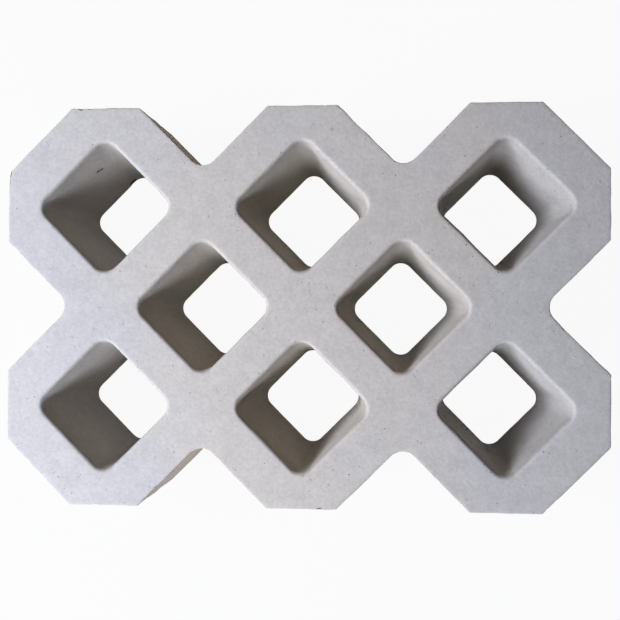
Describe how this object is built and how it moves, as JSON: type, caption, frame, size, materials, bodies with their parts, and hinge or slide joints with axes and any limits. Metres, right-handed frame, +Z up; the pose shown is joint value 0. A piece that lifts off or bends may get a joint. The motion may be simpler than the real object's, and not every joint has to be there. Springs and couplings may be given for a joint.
{
  "type": "grass paver",
  "caption": "Cast concrete grass paver: a lattice of diagonal bars with open square cells, V notches in its edges and chamfered corners.",
  "frame": {"origin": "middle of the underside", "axes": "+X along the block's length, +Y across it, +Z up towards the wide mouths of the cells"},
  "size_m": [0.6, 0.4, 0.1],
  "materials": {
    "concrete": "smooth cast grey concrete"
  },
  "bodies": {
    "root": {"grass_paver": "concrete"}
  },
  "joints": []
}
